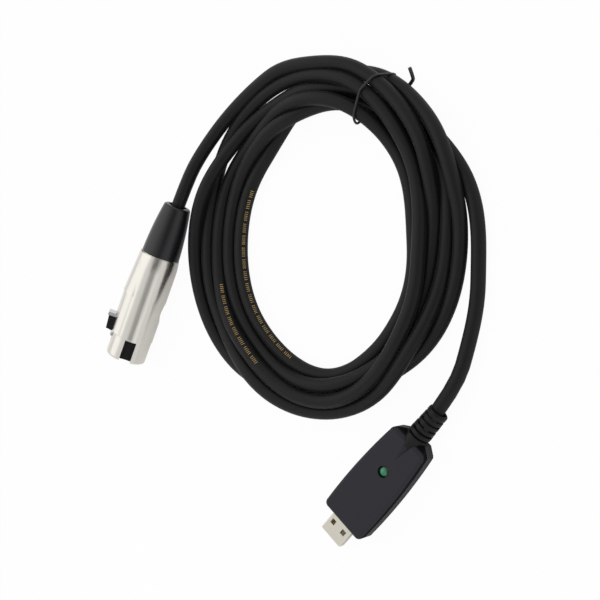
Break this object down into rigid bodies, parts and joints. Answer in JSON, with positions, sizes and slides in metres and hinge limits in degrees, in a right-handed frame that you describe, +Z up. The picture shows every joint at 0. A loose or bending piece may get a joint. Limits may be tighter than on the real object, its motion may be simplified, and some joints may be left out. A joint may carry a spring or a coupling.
{
  "type": "microphone cable coil",
  "caption": "Coiled microphone cable with a latching three-pole audio socket at one end and a USB-A plug on a small adapter box at the other, held by a wire tie.",
  "frame": {"origin": "on the table, under the middle of the box round the two connectors", "axes": "+Z up from the table; +X the longer side of the box round the two connectors, from the audio connector towards the adapter; +Y towards the top of the coil, the side with the wire tie"},
  "size_m": [0.1935, 0.2143, 0.021],
  "materials": {
    "cable_jacket": "matte soft PVC",
    "tie_cover": "plastic covered wire",
    "nickel": "satin nickel plate",
    "black_insert": "moulded",
    "gold_contact": "gold plate",
    "spring_steel": "rolled",
    "steel": "turned",
    "black_button": "moulded",
    "boot_black": "satin moulded",
    "clamp_grey": "moulded",
    "wire_red": "insulation",
    "wire_white": "insulation",
    "wire_copper": "twisted strands",
    "case_grey": "fine matte",
    "lens_green": "clear tinted, lit",
    "board_green": "solder mask",
    "lamp_white": "clear resin",
    "chip_black": "moulded",
    "can_silver": "drawn can",
    "plug_steel": "nickel plated steel",
    "tongue_white": "moulded",
    "relief_black": "moulded"
  },
  "bodies": {
    "cable": {"cable_coil": "cable_jacket", "cable_xlr_lead": "cable_jacket", "cable_usb_lead": "cable_jacket", "twist_tie": "tie_cover", "xlr_shell": "nickel", "xlr_insert": "black_insert", "xlr_contact_1": "gold_contact", "xlr_contact_2": "gold_contact", "xlr_contact_3": "gold_contact", "xlr_ground_spring": "spring_steel", "xlr_insert_screw": "steel", "xlr_latch_pin": "steel", "xlr_boot": "boot_black", "xlr_cable_clamp": "clamp_grey", "xlr_wire_hot": "wire_red", "xlr_wire_cold": "wire_white", "xlr_wire_drain": "wire_copper", "usb_case_top": "case_grey", "usb_case_bottom": "case_grey", "usb_led_lens": "lens_green", "usb_circuit_board": "board_green", "usb_led": "lamp_white", "usb_audio_chip": "chip_black", "usb_crystal": "can_silver", "usb_capacitors": "can_silver", "usb_resistors": "chip_black", "usb_plug_shell": "plug_steel", "usb_plug_tongue": "tongue_white", "usb_plug_contacts": "gold_contact", "usb_strain_relief": "relief_black", "usb_cable_crimp": "steel", "usb_wire_hot": "wire_red", "usb_wire_cold": "wire_white", "usb_wire_drain": "wire_copper"},
    "latch": {"xlr_latch": "spring_steel", "xlr_latch_button": "black_button", "xlr_latch_spring": "spring_steel"}
  },
  "joints": [
    {"name": "latch_press", "type": "hinge", "parent": "cable", "child": "latch", "pos_m": [-0.07464, 0.02974, 0.01439], "axis": [0.5622, -0.2509, 0.788], "range_deg": [0, 3], "stiffness_Nm_per_rad": 0.5, "springref_deg": -1.72}
  ]
}
